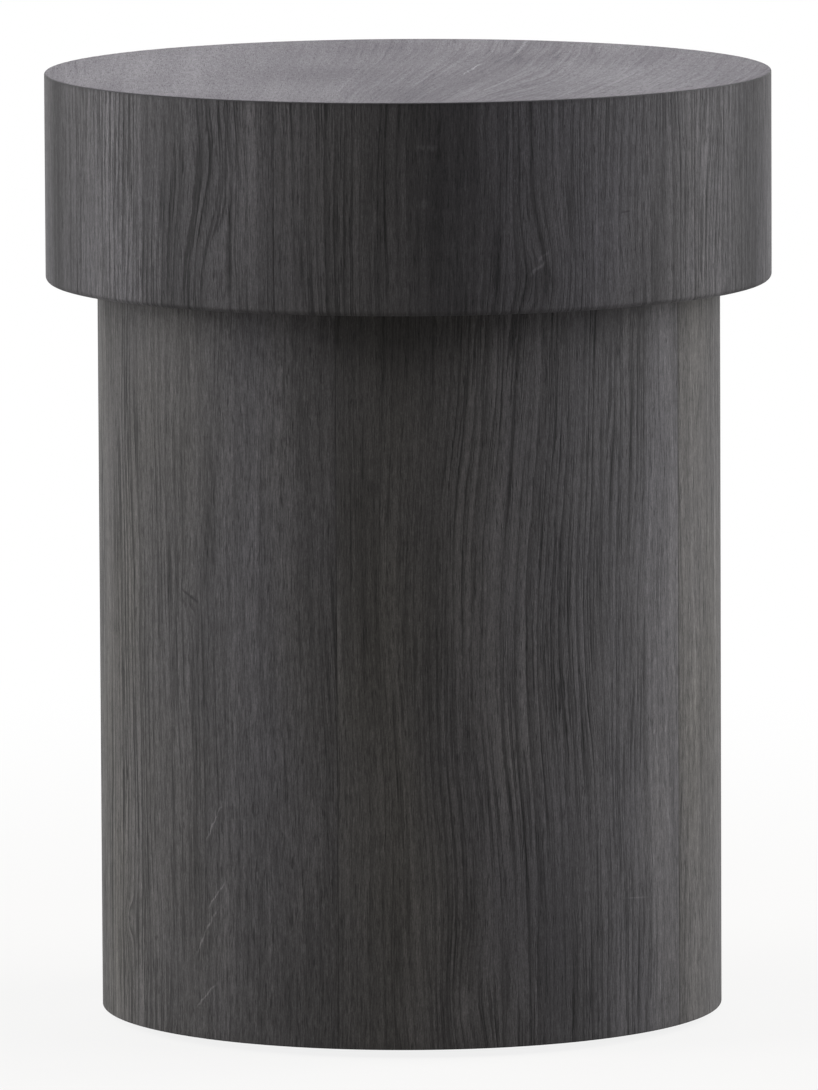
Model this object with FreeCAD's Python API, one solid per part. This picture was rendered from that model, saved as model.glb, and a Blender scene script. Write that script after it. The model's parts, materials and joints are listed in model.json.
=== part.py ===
# Round side table: a wide oak-veneered drum bolted on top of a narrower oak-veneered drum base.
#
# Millimetres, +Z up. The origin is on the floor on the table's axis, with the levellers wound fully in.
# The front of the table faces -Y. Angles are degrees round +Z, counted from +X.

import FreeCAD
import Part

import os
from math import cos, radians, sin, sqrt

# Overall sizes
OVERALL_HEIGHT = 597.0  # floor to tabletop
DRUM_DIAMETER = 457.0
DRUM_HEIGHT = 131.5
BASE_DIAMETER = 392.0
FLOOR_GAP = 5.0  # floor to the lower edge of the base

# Edges
TOP_EDGE_EASE = 1.2
DRUM_LOWER_ROUND = 3.5
BASE_LOWER_ROUND = 1.0

# Veneer: thick-cut leaves, laid edge to edge round each band
VENEER_THICKNESS = 3.0
LEAVES_PER_BAND = 5
DRUM_SEAM_ANGLE = -111.2
BASE_SEAM_ANGLE = -103.4
GLUE_LINE = 0.1  # between curved faces that are glued together

# Drum carcass
HOOP_THICKNESS = 12.0
HOOP_RABBET = 6.0  # how far the two panels are let into the hoop
TOP_PANEL_THICKNESS = 18.0
FLOOR_PANEL_THICKNESS = 18.0
PANEL_FIT = 0.2  # gap round a panel in its rabbet
RIB_THICKNESS = 15.0
RIB_END_GAP = 0.5
LONG_RIB_ANGLE = 0.0
CROSS_RIB_ANGLE = 90.0
LAP_FIT = 0.1  # gap on each face of the ribs' cross lap

# Base carcass: three formers and four battens, wrapped in two half shells
SHELL_THICKNESS = 9.0
SHELL_JOINT_GAP = 0.3
TOP_PLATE_THICKNESS = 18.0
MID_RING_THICKNESS = 18.0
FOOT_RING_THICKNESS = 25.0
RING_WIDTH = 63.8  # of the middle and foot rings, round the access hole
BATTEN_COUNT = 4
BATTEN_WIDTH = 40.0
BATTEN_DEPTH = 20.0
NOTCH_FIT = 0.3  # gap round a batten in the middle ring

# Bolts from the base's top plate up into threaded inserts in the drum's floor
BOLT_COUNT = 4
BOLT_CIRCLE_DIAMETER = 200.0
BOLT_START_ANGLE = 45.0
BOLT_DIAMETER = 8.0
BOLT_LENGTH = 32.0
BOLT_HEAD_DIAMETER = 14.0
BOLT_HEAD_HEIGHT = 4.4
BOLT_HEAD_RIM = 1.4  # height of the head's straight rim
BOLT_HEAD_CROWN = 8.0  # diameter of the flat on the head's crown
BOLT_KEY_WIDTH = 5.0
BOLT_KEY_DEPTH = 2.6
BOLT_HOLE_CLEARANCE = 0.5  # radial
WASHER_DIAMETER = 24.0
WASHER_THICKNESS = 1.6
BOLT_INSERT_LENGTH = 15.0
INSERT_WALL = 2.0
INSERT_FIT = 0.1  # radial gap round an insert in its hole
THREAD_CLEARANCE = 0.08  # radial gap between a bolt and its insert

# Dowels that line the base up with the drum
DOWEL_COUNT = 2
DOWEL_CIRCLE_DIAMETER = 200.0
DOWEL_DIAMETER = 10.0
DOWEL_LENGTH = 26.0
DOWEL_CHAMFER = 1.0
DOWEL_FIT = 0.1
DOWEL_END_GAP = 1.0

# Countersunk wood screws
SCREW_DIAMETER = 5.0
SCREW_LENGTH = 50.0
SCREW_HEAD_DIAMETER = 10.0
SCREW_HEAD_HEIGHT = 3.0
SCREW_POINT_LENGTH = 6.0
SCREW_RECESS_WIDTH = 1.1
SCREW_RECESS_SPAN = 5.0
SCREW_RECESS_DEPTH = 1.8
SCREW_FIT = 0.1
RIB_SCREW_CIRCLE_DIAMETER = 320.0

# Levellers: a threaded stem that turns in a pad and screws through an insert in the foot ring
LEVELLER_COUNT = 4
LEVELLER_START_ANGLE = 45.0
LEVELLER_TRAVEL = 12.0
PAD_DIAMETER = 30.0
PAD_HEIGHT = 7.0
PAD_FLOOR = 2.0  # pad's thickness under the stem
PAD_EDGE = 1.2
BUTTON_DIAMETER = 15.0
BUTTON_HEIGHT = 2.5
NECK_DIAMETER = 9.0
RUNNING_GAP = 0.3  # between the stem, its pad and its insert
HEX_WIDTH = 13.0
HEX_HEIGHT = 4.0
STEM_DIAMETER = 8.0
STEM_CHAMFER = 1.0
STEM_SLOT_WIDTH = 1.4
STEM_SLOT_DEPTH = 2.0
LEVELLER_INSERT_LENGTH = 20.0
INSERT_FLANGE_WIDTH = 4.0
INSERT_FLANGE_THICKNESS = 1.2

# Worked out from the sizes above
TRIM = 1.0  # how far a blank stands outside the envelope that trims it
DRUM_RADIUS = DRUM_DIAMETER / 2
BASE_RADIUS = BASE_DIAMETER / 2
DRUM_UNDERSIDE = OVERALL_HEIGHT - DRUM_HEIGHT
CARCASS_TOP = OVERALL_HEIGHT - VENEER_THICKNESS
TOP_PANEL_UNDERSIDE = CARCASS_TOP - TOP_PANEL_THICKNESS
FLOOR_PANEL_TOP = DRUM_UNDERSIDE + FLOOR_PANEL_THICKNESS

HOOP_OUTER = DRUM_RADIUS - VENEER_THICKNESS - GLUE_LINE
HOOP_INNER = HOOP_OUTER - HOOP_THICKNESS
PANEL_RADIUS = HOOP_INNER + HOOP_RABBET - PANEL_FIT

SHELL_OUTER = BASE_RADIUS - VENEER_THICKNESS - GLUE_LINE
SHELL_INNER = SHELL_OUTER - SHELL_THICKNESS
FORMER_RADIUS = SHELL_INNER - GLUE_LINE
ACCESS_HOLE_RADIUS = FORMER_RADIUS - RING_WIDTH
TOP_PLATE_UNDERSIDE = DRUM_UNDERSIDE - TOP_PLATE_THICKNESS
FLANGE_UNDERSIDE = PAD_HEIGHT + RUNNING_GAP + HEX_HEIGHT + RUNNING_GAP
FOOT_RING_UNDERSIDE = FLANGE_UNDERSIDE + INSERT_FLANGE_THICKNESS
FOOT_RING_TOP = FOOT_RING_UNDERSIDE + FOOT_RING_THICKNESS
MID_RING_UNDERSIDE = (FOOT_RING_TOP + TOP_PLATE_UNDERSIDE - MID_RING_THICKNESS) / 2
BATTEN_AXIS_RADIUS = FORMER_RADIUS - BATTEN_DEPTH / 2
LEVELLER_RADIUS = (FORMER_RADIUS + ACCESS_HOLE_RADIUS) / 2

BOLT_INSERT_BORE = BOLT_DIAMETER / 2 + THREAD_CLEARANCE
BOLT_INSERT_RADIUS = BOLT_INSERT_BORE + INSERT_WALL
STEM_INSERT_BORE = STEM_DIAMETER / 2 + RUNNING_GAP
STEM_INSERT_RADIUS = STEM_INSERT_BORE + INSERT_WALL

ORIGIN = FreeCAD.Vector(0, 0, 0)
UP = FreeCAD.Vector(0, 0, 1)


# Shared shapes


def lathe(outline, sweep=360.0, start=0.0):
    """Turns a closed outline of (radius, height) points about the table's axis."""
    points = [FreeCAD.Vector(radius, 0, height) for radius, height in outline]
    face = Part.Face(Part.makePolygon(points + points[:1]))
    return turned(face, sweep, start)


def turned(face, sweep=360.0, start=0.0):
    solid = face.revolve(ORIGIN, UP, sweep)
    solid.rotate(ORIGIN, UP, start)
    return solid


def disc(radius, low, high):
    return Part.makeCylinder(radius, high - low, FreeCAD.Vector(0, 0, low))


def block(width, depth, low, high):
    """An upright block centred on the axis, width along X and depth along Y."""
    corner = FreeCAD.Vector(-width / 2, -depth / 2, low)
    return Part.makeBox(width, depth, high - low, corner)


def hexagon(across_flats, low, high):
    corner_radius = across_flats / 2 / cos(radians(30))
    points = []
    for corner in range(6):
        angle = radians(60 * corner)
        points.append(FreeCAD.Vector(corner_radius * cos(angle), corner_radius * sin(angle), low))
    face = Part.Face(Part.makePolygon(points + points[:1]))
    return face.extrude(UP * (high - low))


def moved(shape, radius, angle, height=0.0):
    """A copy of a shape made on the axis, set out at a radius and an angle."""
    copy = shape.copy()
    copy.translate(FreeCAD.Vector(radius, 0, height))
    copy.rotate(ORIGIN, UP, angle)
    return copy


def around(shape, count, radius, start_angle, height=0.0):
    step = 360.0 / count
    return [moved(shape, radius, start_angle + step * index, height) for index in range(count)]


def envelope(radius, low, high, low_round, high_round):
    """A turned cylinder with its two edges rounded, which trims the pieces of a band."""
    low_centre = FreeCAD.Vector(radius - low_round, 0, low + low_round)
    high_centre = FreeCAD.Vector(radius - high_round, 0, high - high_round)
    half = sqrt(0.5)
    foot = FreeCAD.Vector(radius - low_round, 0, low)
    foot_middle = low_centre + FreeCAD.Vector(half, 0, -half) * low_round
    side_low = FreeCAD.Vector(radius, 0, low + low_round)
    side_high = FreeCAD.Vector(radius, 0, high - high_round)
    head_middle = high_centre + FreeCAD.Vector(half, 0, half) * high_round
    head = FreeCAD.Vector(radius - high_round, 0, high)
    axis_low = FreeCAD.Vector(0, 0, low)
    axis_high = FreeCAD.Vector(0, 0, high)
    curves = [
        Part.LineSegment(axis_low, foot),
        Part.Arc(foot, foot_middle, side_low),
        Part.LineSegment(side_low, side_high),
        Part.Arc(side_high, head_middle, head),
        Part.LineSegment(head, axis_high),
        Part.LineSegment(axis_high, axis_low),
    ]
    return turned(Part.Face(Part.Wire([curve.toShape() for curve in curves])))


def ring(outer, inner, low, high, sweep=360.0, start=0.0):
    return lathe([(inner, low), (outer, low), (outer, high), (inner, high)], sweep, start)


# Veneer


def drum_envelope():
    return envelope(DRUM_RADIUS, DRUM_UNDERSIDE, OVERALL_HEIGHT, DRUM_LOWER_ROUND, TOP_EDGE_EASE)


def base_envelope():
    """Runs on above the base, so that only the lower edge is rounded."""
    return envelope(BASE_RADIUS, FLOOR_GAP, OVERALL_HEIGHT, BASE_LOWER_ROUND, BASE_LOWER_ROUND)


def top_face_veneer():
    slab = disc(DRUM_RADIUS + TRIM, CARCASS_TOP, OVERALL_HEIGHT + TRIM)
    return slab.common(drum_envelope())


def band_leaves(name, outline, radius, low, high, seam_angle):
    """The leaves of one band, each a curved sheet from seam to seam."""
    sweep = 360.0 / LEAVES_PER_BAND
    leaves = {}
    for index in range(LEAVES_PER_BAND):
        start = seam_angle + sweep * index
        blank = ring(radius + TRIM, radius - VENEER_THICKNESS, low, high, sweep, start)
        leaves[f"{name}_veneer_leaf_{index + 1}"] = blank.common(outline)
    return leaves


def drum_veneer():
    return band_leaves("drum", drum_envelope(), DRUM_RADIUS, DRUM_UNDERSIDE, CARCASS_TOP, DRUM_SEAM_ANGLE)


def base_veneer():
    return band_leaves("base", base_envelope(), BASE_RADIUS, FLOOR_GAP, DRUM_UNDERSIDE, BASE_SEAM_ANGLE)


# Drum carcass


def drum_hoop():
    """Bent-ply hoop with a rabbet at each end for a panel."""
    rabbet = HOOP_INNER + HOOP_RABBET
    hoop = lathe(
        [
            (HOOP_OUTER, DRUM_UNDERSIDE),
            (HOOP_OUTER, CARCASS_TOP),
            (rabbet, CARCASS_TOP),
            (rabbet, TOP_PANEL_UNDERSIDE),
            (HOOP_INNER, TOP_PANEL_UNDERSIDE),
            (HOOP_INNER, FLOOR_PANEL_TOP),
            (rabbet, FLOOR_PANEL_TOP),
            (rabbet, DRUM_UNDERSIDE),
        ]
    )
    return hoop.common(drum_envelope())


def top_panel():
    return disc(PANEL_RADIUS, TOP_PANEL_UNDERSIDE, CARCASS_TOP)


def drum_floor_panel():
    panel = disc(PANEL_RADIUS, DRUM_UNDERSIDE, FLOOR_PANEL_TOP)
    insert_hole = disc(BOLT_INSERT_RADIUS + INSERT_FIT, DRUM_UNDERSIDE - TRIM, FLOOR_PANEL_TOP + TRIM)
    holes = around(insert_hole, BOLT_COUNT, BOLT_CIRCLE_DIAMETER / 2, BOLT_START_ANGLE)
    return panel.cut(holes + dowels(DOWEL_FIT) + rib_screws(SCREW_FIT))


def drum_rib(lap_low, lap_high, angle):
    """One rib of the cross inside the drum, with the half of the cross lap between two heights cut away."""
    reach = HOOP_INNER - RIB_END_GAP
    length = 2 * sqrt(reach**2 - (RIB_THICKNESS / 2) ** 2)
    rib = block(length, RIB_THICKNESS, FLOOR_PANEL_TOP, TOP_PANEL_UNDERSIDE)
    lap = block(RIB_THICKNESS + 2 * LAP_FIT, RIB_THICKNESS + 2 * TRIM, lap_low, lap_high)
    rib = rib.cut(lap)
    rib.rotate(ORIGIN, UP, angle)
    return rib.cut(rib_screws(SCREW_FIT))


def drum_ribs():
    middle = (FLOOR_PANEL_TOP + TOP_PANEL_UNDERSIDE) / 2
    return {
        "drum_rib_long": drum_rib(middle - LAP_FIT, TOP_PANEL_UNDERSIDE + TRIM, LONG_RIB_ANGLE),
        "drum_rib_cross": drum_rib(FLOOR_PANEL_TOP - TRIM, middle, CROSS_RIB_ANGLE),
    }


# Base carcass


def base_shells():
    """Two half shells of bending ply, whose joints lie on the left and right battens."""
    joint = block(2 * BASE_DIAMETER, SHELL_JOINT_GAP, FLOOR_GAP - TRIM, DRUM_UNDERSIDE + TRIM)
    shells = {}
    for name, start in (("base_shell_rear", 0.0), ("base_shell_front", 180.0)):
        shell = ring(SHELL_OUTER, SHELL_INNER, FLOOR_GAP, DRUM_UNDERSIDE, 180.0, start)
        shells[name] = shell.cut(joint)
    return shells


def base_top_plate():
    plate = disc(FORMER_RADIUS, TOP_PLATE_UNDERSIDE, DRUM_UNDERSIDE)
    bolt_hole = disc(
        BOLT_DIAMETER / 2 + BOLT_HOLE_CLEARANCE, TOP_PLATE_UNDERSIDE - TRIM, DRUM_UNDERSIDE + TRIM
    )
    holes = around(bolt_hole, BOLT_COUNT, BOLT_CIRCLE_DIAMETER / 2, BOLT_START_ANGLE)
    return plate.cut(holes + dowels(DOWEL_FIT) + batten_screws_top(SCREW_FIT))


def base_mid_ring():
    low, high = MID_RING_UNDERSIDE, MID_RING_UNDERSIDE + MID_RING_THICKNESS
    former = ring(FORMER_RADIUS, ACCESS_HOLE_RADIUS, low, high)
    depth = BATTEN_DEPTH + NOTCH_FIT
    notch = block(depth + TRIM, BATTEN_WIDTH + 2 * NOTCH_FIT, low - TRIM, high + TRIM)
    notch_radius = FORMER_RADIUS + TRIM - (depth + TRIM) / 2
    return former.cut(around(notch, BATTEN_COUNT, notch_radius, 0.0))


def base_foot_ring():
    former = ring(FORMER_RADIUS, ACCESS_HOLE_RADIUS, FOOT_RING_UNDERSIDE, FOOT_RING_TOP)
    hole = disc(STEM_INSERT_RADIUS + INSERT_FIT, FOOT_RING_UNDERSIDE - TRIM, FOOT_RING_TOP + TRIM)
    holes = around(hole, LEVELLER_COUNT, LEVELLER_RADIUS, LEVELLER_START_ANGLE)
    return former.cut(holes + batten_screws_bottom(SCREW_FIT))


def base_battens():
    """Upright battens between the foot ring and the top plate, their outer faces planed to the shell."""
    blank = block(BATTEN_DEPTH + TRIM, BATTEN_WIDTH, FOOT_RING_TOP, TOP_PLATE_UNDERSIDE)
    planed = disc(FORMER_RADIUS, FOOT_RING_TOP, TOP_PLATE_UNDERSIDE)
    blank_radius = BATTEN_AXIS_RADIUS + TRIM / 2
    screws = batten_screws_top(SCREW_FIT) + batten_screws_bottom(SCREW_FIT)
    battens = {}
    for index, batten in enumerate(around(blank, BATTEN_COUNT, blank_radius, 0.0)):
        battens[f"base_batten_{index + 1}"] = batten.common(planed).cut(screws)
    return battens


# Bolts, dowels and screws


def bolt():
    """Button-head bolt, its head's bearing face at height 0 and its shank upwards."""
    shank, head, crown = BOLT_DIAMETER / 2, BOLT_HEAD_DIAMETER / 2, BOLT_HEAD_CROWN / 2
    shape = lathe(
        [
            (0, -BOLT_HEAD_HEIGHT),
            (crown, -BOLT_HEAD_HEIGHT),
            (head, -BOLT_HEAD_RIM),
            (head, 0),
            (shank, 0),
            (shank, BOLT_LENGTH),
            (0, BOLT_LENGTH),
        ]
    )
    return shape.cut(hexagon(BOLT_KEY_WIDTH, -BOLT_HEAD_HEIGHT - TRIM, BOLT_KEY_DEPTH - BOLT_HEAD_HEIGHT))


def drum_bolts():
    seat = TOP_PLATE_UNDERSIDE - WASHER_THICKNESS
    return around(bolt(), BOLT_COUNT, BOLT_CIRCLE_DIAMETER / 2, BOLT_START_ANGLE, seat)


def bolt_washers():
    hole = BOLT_DIAMETER / 2 + BOLT_HOLE_CLEARANCE
    washer = ring(WASHER_DIAMETER / 2, hole, TOP_PLATE_UNDERSIDE - WASHER_THICKNESS, TOP_PLATE_UNDERSIDE)
    return around(washer, BOLT_COUNT, BOLT_CIRCLE_DIAMETER / 2, BOLT_START_ANGLE)


def bolt_inserts():
    top = DRUM_UNDERSIDE + BOLT_INSERT_LENGTH
    insert = ring(BOLT_INSERT_RADIUS, BOLT_INSERT_BORE, DRUM_UNDERSIDE, top)
    return around(insert, BOLT_COUNT, BOLT_CIRCLE_DIAMETER / 2, BOLT_START_ANGLE)


def dowels(fit=0.0):
    """Dowels half in the top plate and half in the drum's floor, or with a fit, their holes."""
    radius = DOWEL_DIAMETER / 2 + fit
    half = DOWEL_LENGTH / 2 + (DOWEL_END_GAP if fit else 0.0)
    dowel = lathe(
        [
            (0, -half),
            (radius - DOWEL_CHAMFER, -half),
            (radius, -half + DOWEL_CHAMFER),
            (radius, half - DOWEL_CHAMFER),
            (radius - DOWEL_CHAMFER, half),
            (0, half),
        ]
    )
    return around(dowel, DOWEL_COUNT, DOWEL_CIRCLE_DIAMETER / 2, 0.0, DRUM_UNDERSIDE)


def screw(fit=0.0):
    """Countersunk screw with its head at height 0 and its point upwards, or with a fit, its hole."""
    shank, head = SCREW_DIAMETER / 2 + fit, SCREW_HEAD_DIAMETER / 2 + fit
    shape = lathe(
        [
            (0, 0),
            (head, 0),
            (shank, SCREW_HEAD_HEIGHT),
            (shank, SCREW_LENGTH - SCREW_POINT_LENGTH),
            (0, SCREW_LENGTH + fit),
        ]
    )
    if fit:
        return shape
    slot = block(SCREW_RECESS_SPAN, SCREW_RECESS_WIDTH, -TRIM, SCREW_RECESS_DEPTH)
    cross_slot = block(SCREW_RECESS_WIDTH, SCREW_RECESS_SPAN, -TRIM, SCREW_RECESS_DEPTH)
    return shape.cut([slot, cross_slot])


def batten_screws_bottom(fit=0.0):
    return around(screw(fit), BATTEN_COUNT, BATTEN_AXIS_RADIUS, 0.0, FOOT_RING_UNDERSIDE)


def batten_screws_top(fit=0.0):
    upside_down = screw(fit)
    upside_down.rotate(ORIGIN, FreeCAD.Vector(1, 0, 0), 180)
    return around(upside_down, BATTEN_COUNT, BATTEN_AXIS_RADIUS, 0.0, DRUM_UNDERSIDE)


def rib_screws(fit=0.0):
    """Screws up through the drum's floor into each arm of the two ribs."""
    screws = []
    for rib_angle in (LONG_RIB_ANGLE, CROSS_RIB_ANGLE):
        screws += around(screw(fit), 2, RIB_SCREW_CIRCLE_DIAMETER / 2, rib_angle, DRUM_UNDERSIDE)
    return screws


# Levellers


def leveller_insert():
    """Flanged threaded insert pressed up into the foot ring."""
    flange = STEM_INSERT_RADIUS + INSERT_FLANGE_WIDTH
    top = FOOT_RING_UNDERSIDE + LEVELLER_INSERT_LENGTH
    return lathe(
        [
            (STEM_INSERT_BORE, FLANGE_UNDERSIDE),
            (flange, FLANGE_UNDERSIDE),
            (flange, FOOT_RING_UNDERSIDE),
            (STEM_INSERT_RADIUS, FOOT_RING_UNDERSIDE),
            (STEM_INSERT_RADIUS, top),
            (STEM_INSERT_BORE, top),
        ]
    )


def leveller_stem():
    """Button held in the pad, hexagon for a spanner, and a shank that stays in the insert's thread."""
    button, neck, shank = BUTTON_DIAMETER / 2, NECK_DIAMETER / 2, STEM_DIAMETER / 2
    button_low = PAD_FLOOR + RUNNING_GAP
    button_high = button_low + BUTTON_HEIGHT
    hex_low = PAD_HEIGHT + RUNNING_GAP
    hex_high = hex_low + HEX_HEIGHT
    top = FOOT_RING_UNDERSIDE + LEVELLER_INSERT_LENGTH + LEVELLER_TRAVEL
    foot = lathe(
        [
            (0, button_low),
            (button, button_low),
            (button, button_high),
            (neck, button_high),
            (neck, hex_low),
            (0, hex_low),
        ]
    )
    rod = lathe(
        [
            (0, hex_high),
            (shank, hex_high),
            (shank, top - STEM_CHAMFER),
            (shank - STEM_CHAMFER, top),
            (0, top),
        ]
    )
    stem = foot.fuse([hexagon(HEX_WIDTH, hex_low, hex_high), rod]).removeSplitter()
    slot = block(STEM_DIAMETER + TRIM, STEM_SLOT_WIDTH, top - STEM_SLOT_DEPTH, top + TRIM)
    return stem.cut(slot)


def leveller_pad():
    """Nylon pad that snaps over the stem's button and stays still on the floor while the stem turns."""
    outer, socket = PAD_DIAMETER / 2, BUTTON_DIAMETER / 2 + RUNNING_GAP
    mouth = NECK_DIAMETER / 2 + RUNNING_GAP
    socket_top = PAD_FLOOR + BUTTON_HEIGHT + 2 * RUNNING_GAP
    return lathe(
        [
            (0, 0),
            (outer - PAD_EDGE, 0),
            (outer, PAD_EDGE),
            (outer, PAD_HEIGHT - PAD_EDGE),
            (outer - PAD_EDGE, PAD_HEIGHT),
            (mouth, PAD_HEIGHT),
            (mouth, socket_top),
            (socket, socket_top),
            (socket, PAD_FLOOR),
            (0, PAD_FLOOR),
        ]
    )


def levellers():
    """One stem and one pad for each leveller, and the inserts as one group."""
    places = (LEVELLER_COUNT, LEVELLER_RADIUS, LEVELLER_START_ANGLE)
    pieces = {"leveller_inserts": Part.makeCompound(around(leveller_insert(), *places))}
    for index, stem in enumerate(around(leveller_stem(), *places)):
        pieces[f"leveller_stem_{index + 1}"] = stem
    for index, pad in enumerate(around(leveller_pad(), *places)):
        pieces[f"leveller_pad_{index + 1}"] = pad
    return pieces


# Assembly


def table():
    """Every piece of the table by its node's name."""
    pieces = {
        "top_face_veneer": top_face_veneer(),
        "drum_hoop": drum_hoop(),
        "top_panel": top_panel(),
        "drum_floor_panel": drum_floor_panel(),
        "base_top_plate": base_top_plate(),
        "base_mid_ring": base_mid_ring(),
        "base_foot_ring": base_foot_ring(),
        "drum_bolts": Part.makeCompound(drum_bolts()),
        "bolt_washers": Part.makeCompound(bolt_washers()),
        "bolt_inserts": Part.makeCompound(bolt_inserts()),
        "locating_dowels": Part.makeCompound(dowels()),
        "batten_screws_top": Part.makeCompound(batten_screws_top()),
        "batten_screws_bottom": Part.makeCompound(batten_screws_bottom()),
        "rib_screws": Part.makeCompound(rib_screws()),
    }
    pieces.update(drum_veneer())
    pieces.update(base_veneer())
    pieces.update(drum_ribs())
    pieces.update(base_shells())
    pieces.update(base_battens())
    pieces.update(levellers())
    return pieces


def main():
    os.makedirs("parts", exist_ok=True)
    for name, shape in table().items():
        shape.exportStep(f"parts/{name}.step")
        print(name, len(shape.Solids), "solid(s)", round(shape.Volume), "mm3", shape.isValid())


main()
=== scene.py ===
import json
from math import cos, pi, radians, sin

import bpy
from mathutils import Matrix, Vector


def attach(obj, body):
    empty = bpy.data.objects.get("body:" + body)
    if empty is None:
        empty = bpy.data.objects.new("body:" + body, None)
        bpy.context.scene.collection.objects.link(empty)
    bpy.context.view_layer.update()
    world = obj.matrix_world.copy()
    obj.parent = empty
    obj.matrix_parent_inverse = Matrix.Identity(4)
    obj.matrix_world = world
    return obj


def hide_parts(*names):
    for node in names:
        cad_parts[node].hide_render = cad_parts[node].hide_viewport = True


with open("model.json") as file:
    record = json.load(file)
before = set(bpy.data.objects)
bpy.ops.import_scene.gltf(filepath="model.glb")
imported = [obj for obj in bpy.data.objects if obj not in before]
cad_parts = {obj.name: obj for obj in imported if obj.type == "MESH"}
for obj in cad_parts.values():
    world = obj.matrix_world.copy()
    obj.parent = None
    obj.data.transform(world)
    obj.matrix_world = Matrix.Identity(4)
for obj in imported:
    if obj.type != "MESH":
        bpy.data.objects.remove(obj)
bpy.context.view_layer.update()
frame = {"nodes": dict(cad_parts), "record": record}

# The looks of a round side table: dark smoked oak veneer on a wide drum and a narrower base.
# Sizes are metres, in the table's own frame: +Z up, the front towards -Y. Grain is counted in millimetres.

MM = 0.001
PER_METRE = 1000.0
FULL_TURN = 2 * pi

# The veneered forms
DRUM_RADIUS = 228.5 * MM
DRUM_LOW = 465.5 * MM
DRUM_LOWER_ROUND = 3.5 * MM
BASE_RADIUS = 196.0 * MM
BASE_LOW = 5.0 * MM
BASE_LOWER_ROUND = 1.0 * MM
SHEET_THICKNESS = 3.0 * MM
TOP_HEIGHT = 597.0 * MM
TOP_EDGE_EASE = 1.2 * MM
LEAVES = 5
LEAF_ANGLE = FULL_TURN / LEAVES
DRUM_SEAM_ANGLE = radians(-111.2)
BASE_SEAM_ANGLE = radians(-103.4)

# How finely the veneer's meshes are divided
DRUM_COLUMNS = 170
DRUM_ROWS = 48
BASE_COLUMNS = 150
BASE_ROWS = 132
ROUND_ROWS = 6
SIDE_ROWS = 2
SEAM_COLUMNS = 2
SEAM_WIDTH = 0.8 * MM
TOP_COLUMNS = 640
TOP_RINGS = 110
SHARP_ANGLE = radians(35)
WELD = 0.001 * MM

# Relief cut into the veneer's faces, and how far from a seam the ring relief is whole
RING_RELIEF = 0.07 * MM
SEAM_GROOVE = 0.22 * MM
RELIEF_FADE = 6.0 * MM

# Grain, in millimetres: a size is across and along the sheet
RING_PERIOD = 5.6
WANDER_SIZE = (75.0, 430.0)
WANDER = 30.0
WAVER_SIZE = (17.0, 120.0)
WAVER_SEED = 3.7
WAVER = 3.0
SLOW_YEARS = 13.0
SLOW_YEARS_SWING = 7.0
STRONG_RINGS_SIZE = (30.0, 160.0)
STRONG_RINGS_SEED = 9.1
STRONG_RINGS_SHOW = (-0.2, 0.2)
# The top's grain is straight at the left and leans at the right, less and less towards the back
TOP_LEAN = 0.17
TOP_LEAN_LOSS = 0.0003
TOP_LEAN_REACH = (-90.0, 50.0)
# Each sheet's own place in the noise
DRUM_SEED = 2.0
BASE_SEED = 71.0
TOP_SEED = 141.0
LEAF_SEED_STEP = 11.3
# Between these turns of a leaf's lower round, in radians, its edge goes from painted shade to plain
EDGE_DARKENS = (-0.9, 0.1)
# A distance from a seam, in millimetres, at which none shows
NO_SEAM = 10.0


# Building node trees


def operation(kind, swapped=False):
    """A way to calculate with a wire and another wire or number."""

    def calculate(wire, other):
        return wire.graph.math(kind, other, wire) if swapped else wire.graph.math(kind, wire, other)

    return calculate


class Wire:
    """A number that a node gives, ready for plain arithmetic."""

    __add__ = operation("ADD")
    __sub__ = operation("SUBTRACT")
    __mul__ = operation("MULTIPLY")
    __truediv__ = operation("DIVIDE")
    __pow__ = operation("POWER")
    __radd__ = operation("ADD", swapped=True)
    __rsub__ = operation("SUBTRACT", swapped=True)
    __rmul__ = operation("MULTIPLY", swapped=True)
    __rtruediv__ = operation("DIVIDE", swapped=True)

    def __init__(self, graph, socket):
        self.graph = graph
        self.socket = socket

    def ramp(self, low, high, first=0.0, last=1.0, shape="LINEAR"):
        """Runs from first to last as the number goes from low to high, and stays there."""
        ends = {"Value": self, "From Min": low, "From Max": high, "To Min": first, "To Max": last}
        made = self.graph.add("ShaderNodeMapRange", ends, interpolation_type=shape)
        return Wire(self.graph, made.outputs[0])

    def eased(self, low, high, first=0.0, last=1.0):
        return self.ramp(low, high, first, last, "SMOOTHSTEP")


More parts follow.
